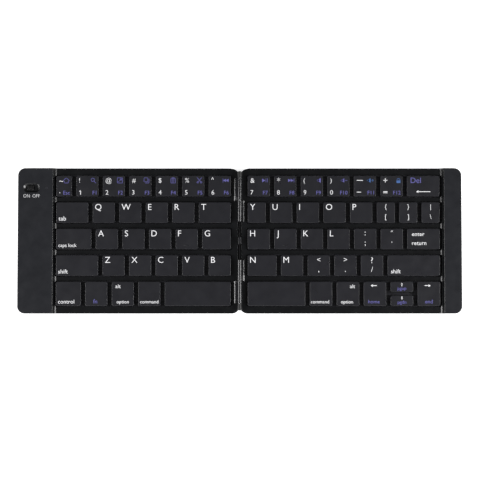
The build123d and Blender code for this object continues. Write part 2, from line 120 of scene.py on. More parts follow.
# Places: which side a mark keeps to across the key and along it, -1, 0 (the middle) or 1, each with how far
# it is from there in millimetres.
PLACES = {
    "letter": (-1, 1.75, 1, 1.25),
    "shifted": (-1, 2.0, 1, 1.6),
    "digit": (-1, 2.0, -1, 1.3),
    "low accent": (-1, 2.0, -1, -0.6),
    "caret": (-1, 1.8, 1, 1.0),
    "sign": (1, 1.6, 1, 1.2),
    "function": (1, 1.5, -1, 1.35),
    "word": (-1, 1.7, -1, 1.6),
    "word in": (-1, 2.4, -1, 1.7),
    "word below": (0, 0, -1, 1.7),
    "word below left": (0, -0.7, -1, 1.7),
    "word above": (-1, 2.6, 1, 1.9),
    "word above right": (1, 2.9, 1, 1.9),
    "sign above": (0, 0, 1, 1.5),
    "arrow above": (0, -0.8, 1, 1.7),
    "sign below": (0, 0, -1, 2.7),
    "colon": (0, 0, 1, 0.9),
    "quote": (0, 0, -1, 2.2),
    "back arrow": (0, 0, -1, 2.3),
    "first line": (-1, 3.2, 1, 2.3),
    "second line": (-1, 3.2, -1, 2.9),
    "delete": (-1, 2.6, 1, 1.3),
    "half key sign": (0, 0, 1, 0.9),
    "half key word": (0, 0, -1, 1.5),
}


def number_key(shifted, digit, sign, function, ink=VIOLET, place="shifted", height=2.9):
    """Marks of a key in the number row."""
    return [
        Mark(shifted, place, height), Mark(digit, "digit", 2.9),
        Mark(sign, "sign", 3.8, ink), Mark(function, "function", 2.4, VIOLET),
    ]


def letter_keys(letters):
    """One mark a key: its letter, upper left."""
    return [[Mark(letter, "letter", 3.9)] for letter in letters]


def paired_key(above, below, above_height=2.9, below_height=2.9, places=("sign above", "sign below")):
    """A key with one sign over another, both in the middle."""
    return [Mark(above, places[0], above_height), Mark(below, places[1], below_height)]


# The marks of each keycap of a node, from left to right.
LEGENDS = {
    "keys_tilde_to_3": [
        [
            Mark("~", "shifted", 3.4), Mark("`", "low accent", 3.6),
            Mark("house", "sign", 3.8, VIOLET), Mark("Esc", "function", 2.4, VIOLET),
        ],
        number_key("!", "one", "magnifier", "F1"),
        number_key("@", "2", "screen", "F2"),
        number_key("#", "3", "page", "F3"),
    ],
    "keys_4_to_6": [
        number_key("$", "4", "clipboard", "F4"),
        number_key("%", "5", "scissors", "F5"),
        number_key("^", "6", "skip back", "F6", place="caret"),
    ],
    "keys_7_to_0": [
        number_key("&", "7", "play", "F7", height=3.1),
        number_key("*", "8", "skip forward", "F8", height=3.7),
        number_key("(", "9", "speaker", "F9"),
        number_key(")", "0", "quieter", "F10"),
    ],
    "keys_minus_equals": [
        number_key("wide bar", "short bar", "louder", "F11", BLUE),
        number_key("plus", "equals", "padlock", "F12", BLUE),
    ],
    "key_delete": [[Mark("Del", "delete", 3.5, VIOLET), Mark("long arrow", "back arrow", 1.8)]],
    "key_tab": [[Mark("tab", "word", 2.7)]],
    "keys_q_to_t": letter_keys("QWERT"),
    "keys_y_to_p": letter_keys("YUIOP"),
    "keys_brackets": [paired_key("{", "["), paired_key("}", "]"), paired_key("|", "\\")],
    "key_caps_lock": [[Mark("caps lock", "word", 2.2)]],
    "keys_a_to_g": letter_keys("ASDFG"),
    "keys_h_to_l": letter_keys("HJKL"),
    "keys_semicolon_quote": [
        paired_key(":", ";", 3.6, 3.6, ("colon", "sign below")),
        paired_key('"', "'", places=("sign above", "quote")),
    ],
    "key_enter": [[Mark("enter", "first line", 2.6), Mark("return", "second line", 2.6)]],
    "key_left_shift": [[Mark("shift", "word", 2.6)]],
    "keys_z_to_b": letter_keys("ZXCVB"),
    "keys_n_m": letter_keys("NM"),
    "keys_comma_to_slash": [
        paired_key("<", ",", 3.2, 3.6), paired_key(">", ".", 3.2, 3.6), paired_key("?", "/", 3.8, 3.3),
    ],
    "key_right_shift": [[Mark("shift", "word in", 2.6)]],
    "key_control": [[Mark("control", "word", 2.5)]],
    "key_fn": [[Mark("fn", "word below left", 2.6, VIOLET)]],
    "key_left_option": [[Mark("alt", "word above", 2.4), Mark("option", "word below", 2.1)]],
    "key_left_command": [[Mark("command", "word below", 2.1)]],
    "key_left_space": [[]],
    "key_right_space": [[]],
    "key_right_command": [[Mark("command", "word below left", 2.1)]],
    "key_right_option": [[Mark("alt", "word above right", 2.4), Mark("option", "word below left", 2.1)]],
    "key_left_arrow": [[Mark("arrow left", "arrow above", 2), Mark("home", "word below left", 2.3, VIOLET)]],
    "key_up_arrow": [[Mark("arrow up", "half key sign", 2), Mark("pgup", "half key word", 2.1, VIOLET)]],
    "key_down_arrow": [[Mark("arrow down", "half key sign", 2), Mark("pgdn", "half key word", 2.1, VIOLET)]],
    "key_right_arrow": [[Mark("arrow right", "arrow above", 2), Mark("end", "word below", 2.4, VIOLET)]],
}

# Drawn signs, with their height as the unit: lines from point to point, blocks between two corners, rings
# with their centre and radius, and triangles with their centre, radius and turn.
SIGNS = {
    "house": [
        ("line", (0, 0.45), (0.55, 0.95), (1.1, 0.45)),
        ("line", (0.2, 0.4), (0.2, 0.05), (0.9, 0.05), (0.9, 0.4)),
    ],
    "magnifier": [("ring", (0.4, 0.6), 0.32), ("line", (0.62, 0.36), (0.95, 0.05))],
    "screen": [
        ("line", (0.05, 0.05), (0.95, 0.05), (0.95, 0.95), (0.05, 0.95), (0.05, 0.05)),
        ("line", (0.25, 0.25), (0.75, 0.75)), ("triangle", (0.68, 0.68), 0.24, 45),
    ],
    "page": [
        ("line", (0.05, 0.25), (0.05, 0.95), (0.7, 0.95), (0.7, 0.25), (0.05, 0.25)),
        ("line", (0.9, 0.75), (0.9, 0.05), (0.3, 0.05)),
    ],
    "clipboard": [
        ("line", (0.1, 0.05), (0.1, 0.85), (0.9, 0.85), (0.9, 0.05), (0.1, 0.05)),
        ("line", (0.3, 0.95), (0.7, 0.95)), ("line", (0.3, 0.62), (0.7, 0.62)),
        ("line", (0.3, 0.42), (0.7, 0.42)), ("line", (0.3, 0.22), (0.6, 0.22)),
    ],
    "scissors": [
        ("line", (0.12, 0.98), (0.7, 0.3)), ("line", (0.88, 0.98), (0.3, 0.3)),
        ("ring", (0.2, 0.18), 0.16), ("ring", (0.8, 0.18), 0.16),
    ],
    "skip back": [
        ("line", (0.05, 0.2), (0.05, 0.8)), ("triangle", (0.4, 0.5), 0.32, 180),
        ("triangle", (0.85, 0.5), 0.32, 180),
    ],
    "skip forward": [
        ("triangle", (0.2, 0.5), 0.32, 0), ("triangle", (0.65, 0.5), 0.32, 0),
        ("line", (1.05, 0.2), (1.05, 0.8)),
    ],
    "play": [
        ("triangle", (0.25, 0.5), 0.36, 0), ("line", (0.72, 0.2), (0.72, 0.8)),
        ("line", (0.98, 0.2), (0.98, 0.8)),
    ],
    "speaker": [("triangle", (0.45, 0.5), 0.46, 180), ("block", (0.12, 0.35), (0.42, 0.65))],
    "quieter": [
        ("triangle", (0.4, 0.5), 0.42, 180), ("block", (0.1, 0.36), (0.4, 0.64)),
        ("line", (0.78, 0.5), (1.1, 0.5)),
    ],
    "louder": [
        ("triangle", (0.4, 0.5), 0.42, 180), ("block", (0.1, 0.36), (0.4, 0.64)),
        ("line", (0.78, 0.5), (1.14, 0.5)), ("line", (0.96, 0.32), (0.96, 0.68)),
    ],
    "padlock": [("block", (0.1, 0.05), (0.75, 0.55)), ("ring", (0.425, 0.62), 0.26)],
    "wide bar": [("line", (0, 0.5), (1.25, 0.5))],
    "short bar": [("line", (0.2, 0.55), (1.05, 0.55))],
    "one": [("line", (0.45, 0.05), (0.45, 0.95)), ("line", (0.22, 0.75), (0.42, 0.92))],
    "plus": [("line", (0.1, 0.5), (0.9, 0.5)), ("line", (0.5, 0.1), (0.5, 0.9))],
    "equals": [("line", (0.1, 0.4), (0.9, 0.4)), ("line", (0.1, 0.68), (0.9, 0.68))],
    "long arrow": [("line", (0.7, 0.5), (5.0, 0.5)), ("triangle", (0.5, 0.5), 0.55, 180)],
    "arrow left": [("line", (0.7, 0.5), (1.9, 0.5)), ("triangle", (0.5, 0.5), 0.5, 180)],
    "arrow right": [("line", (0, 0.5), (1.2, 0.5)), ("triangle", (1.4, 0.5), 0.5, 0)],
    "arrow up": [("line", (0.5, 0), (0.5, 0.6)), ("triangle", (0.5, 0.66), 0.36, 90)],
    "arrow down": [("line", (0.5, 0.4), (0.5, 1)), ("triangle", (0.5, 0.34), 0.36, -90)],
}


# --- mesh tools ---
def merged_copy(node):
    """A CAD node as a mesh of whole flat faces, in place of its loose triangles."""
    bm = bmesh.new()
    bm.from_mesh(frame["nodes"][node].data)
    bmesh.ops.remove_doubles(bm, verts=bm.verts, dist=WELD)
    bmesh.ops.dissolve_limit(bm, angle_limit=math.radians(1), verts=bm.verts, edges=bm.edges)
    return bm


def solids(bm):
    """The separate solids of a mesh, as lists of their vertices, from left to right and front to back."""
    unseen, found = set(bm.verts), []
    while unseen:
        reached = [unseen.pop()]
        for vertex in reached:
            for edge in vertex.link_edges:
                other = edge.other_vert(vertex)
                if other in unseen:
                    unseen.remove(other)
                    reached.append(other)
        found.append(reached)
    return sorted(found, key=lambda solid: tuple(extent(solid)[0]))


def extent(vertices):
    """Lowest and highest corner of some vertices."""
    spread = [[v.co[axis] for v in vertices] for axis in range(3)]
    return Vector(map(min, spread)), Vector(map(max, spread))


def solid_boxes(node):
    """Lowest and highest corner of each solid of a CAD node."""
    bm = merged_copy(node)
    boxes = [extent(solid) for solid in solids(bm)]
    bm.free()
    return boxes


def sharp_edges(bm, above=-1.0, least=30):
    """Outer edges that turn by more than an angle and lie above a height."""
    return [
        edge for edge in bm.edges
        if edge.is_manifold and edge.is_convex and edge.calc_face_angle() > math.radians(least)
        and min(v.co.z for v in edge.verts) > above
    ]


def lower_rim(bm, low):
    """Edges round an underside at a height."""
    return [
        edge for edge in bm.edges
        if all(v.co.z < low + LEVEL for v in edge.verts) and edge.calc_face_angle() > math.radians(60)
    ]


def soften(bm, edges, radius, segments=3):
    """Rounds edges to a radius."""
    bmesh.ops.bevel(
        bm, geom=edges, offset=radius, offset_type="OFFSET", segments=segments, profile=0.5,
        affect="EDGES", material=-1, clamp_overlap=True,
    )


def only_points(items):
    """The points among what a mesh operator returns."""
    return [item for item in items if isinstance(item, bmesh.types.BMVert)]


def press(bm, faces, move, closed=False):
    """Moves faces with walls left behind them, and opens the place where they were unless told not to."""
    made = bmesh.ops.extrude_face_region(bm, geom=faces)
    bmesh.ops.translate(bm, vec=move, verts=only_points(made["geom"]))
    if not closed:
        bmesh.ops.delete(bm, geom=faces, context="FACES")


def as_mesh(name, bm):
    """Mesh data made from a finished shape."""
    mesh = bpy.data.meshes.new(name)
    bm.to_mesh(mesh)
    bm.free()
    return mesh


def absorb(bm, part, material=None):
    """Moves a finished part into a larger mesh, with one material throughout if its number is given."""
    if material is not None:
        for face in part.faces:
            face.material_index = material
    mesh = as_mesh("part", part)
    bm.from_mesh(mesh)
    bpy.data.meshes.remove(mesh)


def add_block(low, high):
    """A block between two corners, in a mesh of its own."""
    bm = bmesh.new()
    low, high = Vector(low), Vector(high)
    bmesh.ops.create_cube(bm, size=1.0)
    bmesh.ops.scale(bm, vec=high - low, verts=bm.verts)
    bmesh.ops.translate(bm, vec=(low + high) / 2, verts=bm.verts)
    return bm


def show(name, data):
    """A new object in the scene."""
    item = bpy.data.objects.new(name, data)
    bpy.context.scene.collection.objects.link(item)
    return item


def add_piece(name, bm, materials, body, stands_for, smooth_below=40):
    """Makes a mesh into a piece that rides on a body and stands for CAD nodes."""
    for face in bm.faces:
        face.smooth = True
    for edge in bm.edges:
        edge.smooth = edge.is_manifold and edge.calc_face_angle() < math.radians(smooth_below)
    mesh = as_mesh(name, bm)
    for material in materials:
        mesh.materials.append(material)
    piece = show(name, mesh)
    piece.modifiers.new("even_shading", "WEIGHTED_NORMAL").keep_sharp = True
    if body:
        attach(piece, body)
    if stands_for:
        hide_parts(*stands_for)
    return piece


def paint(node, material):
    """Gives a CAD node that stays its material."""
    data = frame["nodes"][node].data
    data.materials.clear()
    data.materials.append(material)


# --- materials ---
# Sizes of grains, patches and lines are in millimetres in this section.
def linear(code):
    """A colour written as sRGB hex, as the linear values that shaders use."""
    parts = [int(code[i:i + 2], 16) / 255 for i in (1, 3, 5)]
    return tuple(c / 12.92 if c <= 0.04045 else ((c + 0.055) / 1.055) ** 2.4 for c in parts)


def feed(tree, node, inputs):
    """Gives inputs of a node their values, or the outputs that feed them."""
    for name, value in inputs.items():
        if isinstance(value, bpy.types.NodeSocket):
            tree.links.new(value, node.inputs[name])
        else:
            node.inputs[name].default_value = value


def add_node(tree, kind, inputs=None, **settings):
    """Adds a shader node with its settings and inputs."""
    node = tree.nodes.new(f"ShaderNode{kind}")
    for name, value in settings.items():
        setattr(node, name, value)
    feed(tree, node, inputs or {})
    return node


def empty_tree(owner):
    """The node tree of a material or world, emptied."""
    owner.use_nodes = True
    owner.node_tree.nodes.clear()
    return owner.node_tree


def start_finish(name):
    """An empty material with its shader, its node tree and the object coordinates."""
    material = bpy.data.materials.get(name) or bpy.data.materials.new(name)
    tree = empty_tree(material)
    shader = add_node(tree, "BsdfPrincipled")
    add_node(tree, "OutputMaterial", {"Surface": shader.outputs["BSDF"]})
    where = add_node(tree, "TexCoord").outputs["Object"]
    return material, tree, shader, where


def drift(tree, where, size, low, high):
    """A value that drifts between two limits over patches of a size."""
    cloud = add_node(tree, "TexNoise", {"Vector": where, "Scale": 1 / (size * MM), "Detail": 2.0})
    limits = {"From Min": 0.3, "From Max": 0.7, "To Min": low, "To Max": high}
    return add_node(tree, "MapRange", {"Value": cloud.outputs["Fac"], **limits}).outputs["Result"]


def uneven(tree, where, size, colour, darker, lighter):
    """A colour that drifts between a darker and a lighter shade of itself."""
    dark, light = ((*[c * part for c in colour], 1) for part in (darker, lighter))
    inputs = {"Factor": drift(tree, where, size, 0, 1), MIX_A: dark, MIX_B: light}
    return add_node(tree, "Mix", inputs, data_type="RGBA").outputs[MIX_RESULT]


def grain(tree, where, size, height, strength):
    """A fine raised grain, with its size across and its height."""
    cloud = add_node(tree, "TexNoise", {"Vector": where, "Scale": 1 / (size * MM), "Detail": 3.0})
    inputs = {"Height": cloud.outputs["Fac"], "Distance": height * MM, "Strength": strength}
    return add_node(tree, "Bump", inputs).outputs["Normal"]


def moulded_plastic(name, colour, roughness, grain_size, grain_height, ior=1.52):
    """Injection-moulded plastic: even colour, fine grain from the mould, slightly uneven gloss."""
    material, tree, shader, where = start_finish(name)
    feed(tree, shader, {
        "IOR": ior,
        "Base Color": uneven(tree, where, 12, colour, 0.92, 1.08),
        "Roughness": drift(tree, where, 6, roughness - 0.03, roughness + 0.03),
        "Normal": grain(tree, where, grain_size, grain_height, 0.6),
    })
    return material


def case_plastic():
    """Black ABS where the mould is spark-eroded: matt, with a grain of 0.35 mm that breaks up gloss."""
    look = bpy.context.scene.keyboard_case
    return moulded_plastic("Spark-eroded black ABS", look.colour, look.roughness, 0.35, 0.0025)


def deck_plastic():
    """The same black ABS where the mould is stoned smooth, round the keys, with a finer grain; its colour is
    darker than the strips' as painted shade, for the shade that falls on the deck between and under the
    keys.
    """
    look = bpy.context.scene.keyboard_case
    return moulded_plastic("Stoned black ABS", look.deck_colour, look.deck_roughness, 0.2, 0.0012)


def key_plastic():
    """Black ABS under a thin satin lacquer: smoother than the case, so its rims catch the light."""
    look = bpy.context.scene.keyboard_keys
    return moulded_plastic("Satin lacquered ABS", look.colour, look.roughness, 0.25, 0.0012)


def printed_ink(name):
    """Pad-printed ink: flat and dense, a little thinner in places."""
    material, tree, shader, where = start_finish(f"{name.capitalize()} pad-printing ink")
    colour = getattr(bpy.context.scene.keyboard_print, name)
    feed(tree, shader, {"Base Color": uneven(tree, where, 0.6, colour, 0.94, 1.0), "Roughness": 0.5})
    return material


def painted_zinc():
    """Die-cast zinc under baked black paint: dark, with a soft gloss that draws light lines on curves."""
    look = bpy.context.scene.keyboard_hinge
    material, tree, shader, where = start_finish("Baked black paint on zinc")
    feed(tree, shader, {
        "Base Color": uneven(tree, where, 4, look.colour, 0.9, 1.1),
        "Roughness": drift(tree, where, 2, look.roughness - 0.02, look.roughness + 0.02),
        "Coat Weight": 0.2,
        "Coat Roughness": 0.15,
        "Normal": grain(tree, where, 0.8, 0.0006, 0.4),
    })
    return material


def metal(name, colour, roughness, stretch=(1, 1, 1), line=0.4):
    """Bare or plated metal, with fine lines along the way that it was drawn or ground."""
    material, tree, shader, where = start_finish(name)
    where = add_node(tree, "Mapping", {"Vector": where, "Scale": stretch}).outputs["Vector"]
    feed(tree, shader, {
        "Metallic": 1.0,
        "Base Color": uneven(tree, where, line, colour, 0.9, 1.05),
        "Roughness": drift(tree, where, line, roughness - 0.05, roughness + 0.05),
    })
    return material


def soft_silicone():
    """Cast silicone rubber: milky, slightly see-through and dull."""
    material = moulded_plastic("Cast silicone rubber", linear("#c9cbd0"), 0.55, 0.5, 0.002, 1.41)
    shader = next(n for n in material.node_tree.nodes if n.type == "BSDF_PRINCIPLED")
    feed(material.node_tree, shader, {"Subsurface Weight": 0.4, "Subsurface Scale": 0.5 * MM})
    return material


def printed_film(name, colour, line_colour, pitch):
    """Polymer film with printed tracks along it at an even pitch: glossy, with darker and lighter bands."""
    material, tree, shader, where = start_finish(name)
    bands = add_node(
        tree, "TexWave", {"Vector": where, "Scale": BAND / (pitch * MM), "Distortion": 0.0},
        wave_type="BANDS", bands_direction="Y",
    )
    inputs = {"Value": bands.outputs["Fac"], "From Min": 0.45, "From Max": 0.55}
    track = add_node(tree, "MapRange", inputs).outputs["Result"]
    inputs = {"Factor": track, MIX_A: (*colour, 1), MIX_B: (*line_colour, 1)}
    mixed = add_node(tree, "Mix", inputs, data_type="RGBA")
    feed(tree, shader, {"Base Color": mixed.outputs[MIX_RESULT], "Roughness": 0.35})
    return material


def smoked_lens():
    """Smoked polycarbonate: dark, clear and glossy."""
    material, tree, shader, where = start_finish("Smoked polycarbonate")
    colour = uneven(tree, where, 1, linear("#35363a"), 0.9, 1.1)
    feed(tree, shader, {"IOR": 1.58, "Transmission Weight": 0.3, "Base Color": colour, "Roughness": 0.15})
    return material


# --- keycaps ---
def stroke(start, end, width):
    """A flat bar from point to point."""
    bm = bmesh.new()
    start, end = Vector((*start, 0)), Vector((*end, 0))
    run = end - start
    bmesh.ops.create_grid(bm, x_segments=1, y_segments=1, size=0.5)
    bmesh.ops.scale(bm, vec=(run.length + width, width, 1), verts=bm.verts)
    bmesh.ops.rotate(bm, matrix=Matrix.Rotation(math.atan2(run.y, run.x), 3, "Z"), verts=bm.verts)
    bmesh.ops.translate(bm, vec=(start + end) / 2, verts=bm.verts)
    return bm


def block(low, high):
    """A flat rectangle between two corners."""
    half = (high[1] - low[1]) / 2
    return stroke((low[0] + half, low[1] + half), (high[0] - half, low[1] + half), 2 * half)


def triangle(centre, radius, turn):
    """A flat triangle that points to the right, then turned."""
    bm = bmesh.new()
    bmesh.ops.create_circle(bm, cap_ends=True, segments=3, radius=radius)
    bmesh.ops.rotate(bm, matrix=Matrix.Rotation(math.radians(turn - 90), 3, "Z"), verts=bm.verts)
    bmesh.ops.translate(bm, vec=(*centre, 0), verts=bm.verts)
    return bm


def ring(centre, radius, width):
    """A flat ring."""
    bm = bmesh.new()
    bmesh.ops.create_circle(bm, cap_ends=True, segments=20, radius=radius)
    bmesh.ops.inset_region(bm, faces=bm.faces[:], thickness=width, use_even_offset=True, use_boundary=True)
    middle = max(bm.faces, key=lambda face: len(face.verts))
    bmesh.ops.delete(bm, geom=[middle], context="FACES")
    bmesh.ops.translate(bm, vec=(*centre, 0), verts=bm.verts)
    return bm


def drawn_sign(name, height, width, thickness):
    """A drawn sign of a height, with lines of a width, as a thin raised layer of ink."""
    bm = bmesh.new()
    line = width / height
    for kind, *where in SIGNS[name]:
        if kind == "line":
            for start, end in zip(where, where[1:]):
                absorb(bm, stroke(start, end, line))
        elif kind == "block":
            absorb(bm, block(*where))
        elif kind == "ring":
            absorb(bm, ring(*where, line))
        else:
            absorb(bm, triangle(*where))
    bmesh.ops.scale(bm, vec=(height, height, 1), verts=bm.verts)
    bmesh.ops.recalc_face_normals(bm, faces=bm.faces)
    press(bm, bm.faces[:], (0, 0, thickness), closed=True)
    bmesh.ops.recalc_face_normals(bm, faces=bm.faces)
    return bm


def printed_word(words, height, thickness, narrow=1.0, spread=0.0):
    """Words in the built-in font, narrower or with finer lines if asked, as a thin raised layer of ink."""
    curve = bpy.data.curves.new("words", "FONT")
    curve.body = words
    curve.size = height / LETTER_HEIGHT
    curve.resolution_u = 3
    curve.offset = spread
    curve.extrude = thickness / 2
    holder = bpy.data.objects.new("words", curve)
    mesh = bpy.data.meshes.new_from_object(holder)
    bm = bmesh.new()
    bm.from_mesh(mesh)
    bmesh.ops.scale(bm, vec=(narrow, 1, 1), verts=bm.verts)
    bmesh.ops.translate(bm, vec=(0, 0, thickness / 2), verts=bm.verts)
    bpy.data.objects.remove(holder)
    bpy.data.curves.remove(curve)
    bpy.data.meshes.remove(mesh)
    return bm


def add_mark(bm, mark, low, high):
    """Prints one mark on a key whose top lies between two corners."""
    look = bpy.context.scene.keyboard_print
    height = mark.height * MM
    if mark.sign in SIGNS:
        line = look.bold_stroke if mark.ink == WHITE else look.stroke
        ink = drawn_sign(mark.sign, height, line, look.thickness)
    else:
        spread = look.letter_spread if len(mark.sign) == 1 else 0.0
        ink = printed_word(mark.sign, height, look.thickness, spread=spread)
    across, across_gap, along, along_gap = PLACES[mark.place]
    near, far = extent(ink.verts)
    if across < 0:
        x = low.x + across_gap * MM - near.x
    elif across > 0:
        x = high.x - across_gap * MM - far.x
    else:
        x = (low.x + high.x - near.x - far.x) / 2 + across_gap * MM
    y = high.y - along_gap * MM - height if along > 0 else low.y + along_gap * MM
    bmesh.ops.translate(ink, vec=(x, y, key_top - look.thickness / 3), verts=ink.verts)
    absorb(bm, ink, mark.ink)


def keycap(low, high):
    """A tapered cap, open below, with rounded corners and a softened rim."""
    cap = bpy.context.scene.keyboard_keys
    low, high = Vector(low), Vector((high.x, high.y, key_top))
    size, centre = high - low, (low + high) / 2
    bm = add_block(low, high)
    lean = size.z * math.tan(cap.draft)
    bmesh.ops.scale(
        bm, vec=(1 - 2 * lean / size.x, 1 - 2 * lean / size.y, 1), space=Matrix.Translation(-centre),
        verts=[v for v in bm.verts if v.co.z > centre.z],
    )
    uprights = [e for e in bm.edges if abs(e.verts[0].co.z - e.verts[1].co.z) > size.z / 2]
    soften(bm, uprights, cap.corner, 5)
    top = max(bm.faces, key=lambda face: face.calc_center_median().z)
    soften(bm, list(top.edges), cap.rim, 4)
    base = min(bm.faces, key=lambda face: face.calc_center_median().z)
    bmesh.ops.inset_region(bm, faces=[base], thickness=cap.wall, use_even_offset=True)
    bmesh.ops.translate(bm, vec=(0, 0, size.z - cap.top_thickness), verts=base.verts)
    return bm


def homing_bar(low, high):
    """The raised bar that a fingertip finds on the two home keys."""
    cap = bpy.context.scene.keyboard_keys
    x, y = (low.x + high.x) / 2, low.y + cap.bar_inset
    long, wide = cap.bar_length / 2, cap.bar_width / 2
    bm = add_block((x - long, y - wide, key_top - wide), (x + long, y + wide, high.z))
    soften(bm, sharp_edges(bm, key_top), cap.bar_width / 3)
    return bm


class KeycapSettings(PropertyGroup):
    colour: FloatVectorProperty(
        name="Colour", description="Colour of the keycaps", subtype="COLOR", default=linear("#1f1f23"),
        min=0, max=1,
    )
    roughness: FloatProperty(
        name="Roughness", description="How dull the keycaps are", subtype="FACTOR", default=0.3, min=0,
        max=1,
    )
    corner: FloatProperty(
        name="Corner", description="Radius of the upright corners", unit="LENGTH", default=0.95 * MM
    )
    rim: FloatProperty(
        name="Rim", description="Radius of the edge round the top", unit="LENGTH", default=0.25 * MM
    )
    draft: FloatProperty(
        name="Draft", description="Lean of the skirt", subtype="ANGLE", default=math.radians(3)
    )
    wall: FloatProperty(
        name="Wall", description="Thickness of the skirt", unit="LENGTH", default=0.8 * MM
    )
    top_thickness: FloatProperty(
        name="Top", description="Thickness of the top", unit="LENGTH", default=1.2 * MM
    )
    bar_length: FloatProperty(
        name="Bar length", description="Length of the raised bar on a home key", unit="LENGTH",
        default=3.2 * MM,
    )
    bar_width: FloatProperty(
        name="Bar width", description="Width of the raised bar on a home key", unit="LENGTH",
        default=0.5 * MM,
    )
    bar_inset: FloatProperty(
        name="Bar place", description="The raised bar from the front of its key", unit="LENGTH",
        default=2.6 * MM,
    )


class PrintSettings(PropertyGroup):
    white: FloatVectorProperty(
        name="White ink", description="Colour of letters and digits", subtype="COLOR",
        default=linear("#f0f0f2"), min=0, max=1,
    )
    violet: FloatVectorProperty(
        name="Violet ink", description="Colour of second functions", subtype="COLOR",
        default=linear("#605d9f"), min=0, max=1,
    )
    blue: FloatVectorProperty(
        name="Blue ink", description="Colour of the volume and lock signs", subtype="COLOR",
        default=linear("#42659f"), min=0, max=1,
    )
    thickness: FloatProperty(
        name="Thickness", description="Thickness of the ink", unit="LENGTH", default=0.02 * MM
    )
    stroke: FloatProperty(
        name="Stroke", description="Width of the lines of coloured signs", unit="LENGTH",
        default=0.26 * MM,
    )
    bold_stroke: FloatProperty(
        name="Bold stroke", description="Width of the lines of white signs", unit="LENGTH",
        default=0.42 * MM,
    )
    letter_spread: FloatProperty(
        name="Letter spread", description="How far single letters grow past the font's outline",
        unit="LENGTH", default=-0.03 * MM,
    )


class KEYBOARD_OT_keycaps(Operator):
    """Makes every keycap with its printed marks"""

    bl_idname = "keyboard.keycaps"
    bl_label = "Keycaps"

    def execute(self, context):
        materials = [key_plastic(), printed_ink("white"), printed_ink("violet"), printed_ink("blue")]
        for node, marked in LEGENDS.items():
            caps = solid_boxes(node)
            if len(caps) != len(marked):
                raise RuntimeError(f"{node} has {len(caps)} keycaps and {len(marked)} legends")
            bm = bmesh.new()
            for (low, high), marks in zip(caps, marked):
                absorb(bm, keycap(low, high))
                if high.z > key_top + LEVEL:
                    absorb(bm, homing_bar(low, high))
                for mark in marks:
                    add_mark(bm, mark, low, high)
            add_piece(node.replace("key", "cap", 1), bm, materials, node, [node])
        return {"FINISHED"}


# --- scissor frames and domes ---
class SupportSettings(PropertyGroup):
    kept: FloatProperty(
        name="Kept", description="Share of its height that a dome keeps under a key held down",
        subtype="FACTOR", default=0.56, min=0.1, max=1,
    )


class KEYBOARD_OT_supports(Operator):
    """Gives each key its own domes and scissor frames"""

    bl_idname = "keyboard.supports"
    bl_label = "Domes and scissors"

    def execute(self, context):
        # The scissor frames are moulded in acetal, which slides on itself without grease.
        acetal = moulded_plastic("Moulded grey acetal", linear("#4a4b4f"), 0.4, 0.3, 0.002, 1.48)
        silicone = soft_silicone()
        for side in SIDES:
            half, nodes = f"{side}_half", [f"{side}_scissors", f"{side}_domes"]
            shared = bmesh.new()
            for index, node in enumerate(nodes):
                absorb(shared, merged_copy(node), index)
            for joint in frame["record"]["behaviour"]["joints"]:
                node = joint["child"]
                if joint["parent"] != half or node not in LEGENDS:
                    continue
                caps = solid_boxes(node)
                bm = shared.copy()
                elsewhere = []
                for solid in solids(bm):
                    near, far = extent(solid)
                    x, y, _ = (near + far) / 2
                    if not any(low.x < x < high.x and low.y < y < high.y for low, high in caps):
                        elsewhere += solid
                bmesh.ops.delete(bm, geom=elsewhere, context="VERTS")
                name = node.replace("key", "support", 1)
                piece = add_piece(name, bm, [acetal, silicone], half, nodes)
                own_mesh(piece)
            shared.free()
        return {"FINISHED"}


# --- cases ---
class CaseSettings(PropertyGroup):
    colour: FloatVectorProperty(
        name="Colour", description="Colour of the strips and the underside", subtype="COLOR",
        default=linear("#1b1c20"), min=0, max=1,
    )
    roughness: FloatProperty(
        name="Roughness", description="How dull the strips are", subtype="FACTOR", default=0.3, min=0,
        max=1,
    )
    # Darker than the strips' colour: painted shade for the deck between the keys, not a colour of its own.
    deck_colour: FloatVectorProperty(
        name="Deck colour", description="Colour of the deck round the keys", subtype="COLOR",
        default=linear("#0b0c0e"), min=0, max=1,
    )
    deck_roughness: FloatProperty(
        name="Deck roughness", description="How dull the deck is", subtype="FACTOR", default=0.26, min=0,
        max=1,
    )
    edge: FloatProperty(
        name="Edge", description="Radius of the outer edges", unit="LENGTH", default=0.28 * MM
    )
    rib_edge: FloatProperty(
        name="Rib edge", description="Radius of the edges round the windows", unit="LENGTH",
        default=0.4 * MM,
    )
    inner_edge: FloatProperty(
        name="Inner edge", description="Radius of the edges beside the hinge", unit="LENGTH",
        default=0.5 * MM,
    )
    hinge_side: FloatProperty(
        name="Hinge side", description="How far from the hinge axis the inner edges reach", unit="LENGTH",
        default=2 * MM,
    )
    word_height: FloatProperty(
        name="Word height", description="Height of ON and OFF", unit="LENGTH", default=2.2 * MM
    )
    word_width: FloatProperty(
        name="Word width", description="Width of ON and OFF against the font's own", subtype="FACTOR",
        default=0.88, min=0.5, max=1,
    )
    word_spread: FloatProperty(
        name="Word spread", description="How far the lines of ON and OFF grow past the font's outline",
        unit="LENGTH", default=-0.06 * MM,
    )
    recess_left: FloatProperty(
        name="Recess left", description="Slope of the left end of the switch's recess", subtype="ANGLE",
        default=math.radians(27),
    )
    recess_right: FloatProperty(
        name="Recess right", description="Slope of the right end of the switch's recess", subtype="ANGLE",
        default=math.radians(19),
    )
    on_place: FloatVectorProperty(
        name="ON", description="Middle of the foot of ON, from the middle of the hinge", size=2,
        unit="LENGTH", default=(-139.8 * MM, 28.3 * MM),
    )
    off_place: FloatVectorProperty(
        name="OFF", description="Middle of the foot of OFF, from the middle of the hinge", size=2,
        unit="LENGTH", default=(-133.5 * MM, 28.3 * MM),
    )


